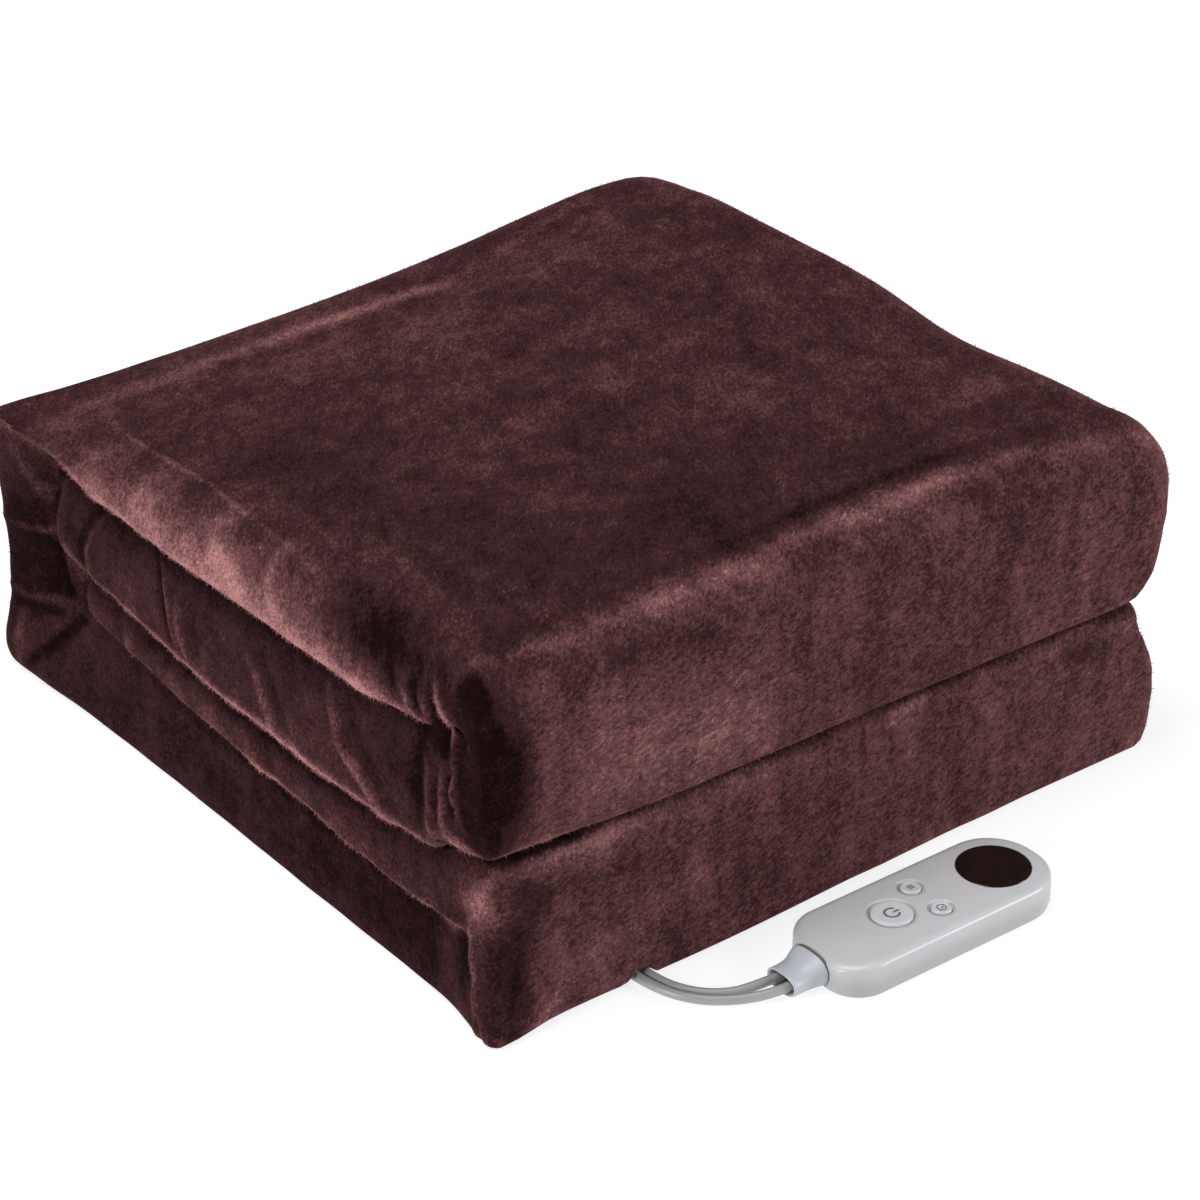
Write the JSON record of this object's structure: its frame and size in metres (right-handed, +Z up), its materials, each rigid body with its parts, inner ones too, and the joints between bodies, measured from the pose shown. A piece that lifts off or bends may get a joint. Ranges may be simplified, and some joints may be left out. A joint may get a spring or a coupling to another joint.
{
  "type": "electric heated blanket",
  "caption": "Plush electric heated throw, folded to a block, with a keyed hand control on two thin leads and a coiled mains lead with a flat-pin plug.",
  "frame": {"origin": "centre of the cloth's flat underside, on the surface that it lies on", "axes": "+Z up; +X along the two front folds, away from the side where the layers show; +Y from the front folds to the spine"},
  "size_m": [0.439, 0.6298, 0.1973],
  "materials": {
    "plush": "dark maroon short plush pile with a pale sheen",
    "control_shell": "pale grey satin moulded plastic",
    "control_keys": null,
    "display": "glossy near-black tinted window",
    "lead_sleeve": "grey smooth flexible sleeve",
    "plug_shell": "grey moulded plug",
    "plug_pins": "nickel-plated"
  },
  "bodies": {
    "throw_and_control": {"folded_blanket": "plush", "control_housing": "control_shell", "control_base": "control_shell", "display_window": "display", "strain_relief": "control_shell", "blanket_lead": "lead_sleeve", "mains_lead": "lead_sleeve", "lead_coil": "lead_sleeve", "mains_tail": "lead_sleeve", "plug_body": "plug_shell", "plug_pin_a": "plug_pins", "plug_pin_b": "plug_pins"},
    "power_button": {"power_key": "control_keys"},
    "heat_button": {"heat_key": "control_keys"},
    "timer_button": {"timer_key": "control_keys"}
  },
  "joints": [
    {"name": "power_press", "type": "slide", "parent": "throw_and_control", "child": "power_button", "axis": [0, 0, -1], "range_m": [0, 0.0007], "stiffness_N_per_m": 400},
    {"name": "heat_press", "type": "slide", "parent": "throw_and_control", "child": "heat_button", "axis": [0, 0, -1], "range_m": [0, 0.0007], "stiffness_N_per_m": 300},
    {"name": "timer_press", "type": "slide", "parent": "throw_and_control", "child": "timer_button", "axis": [0, 0, -1], "range_m": [0, 0.0007], "stiffness_N_per_m": 300}
  ]
}
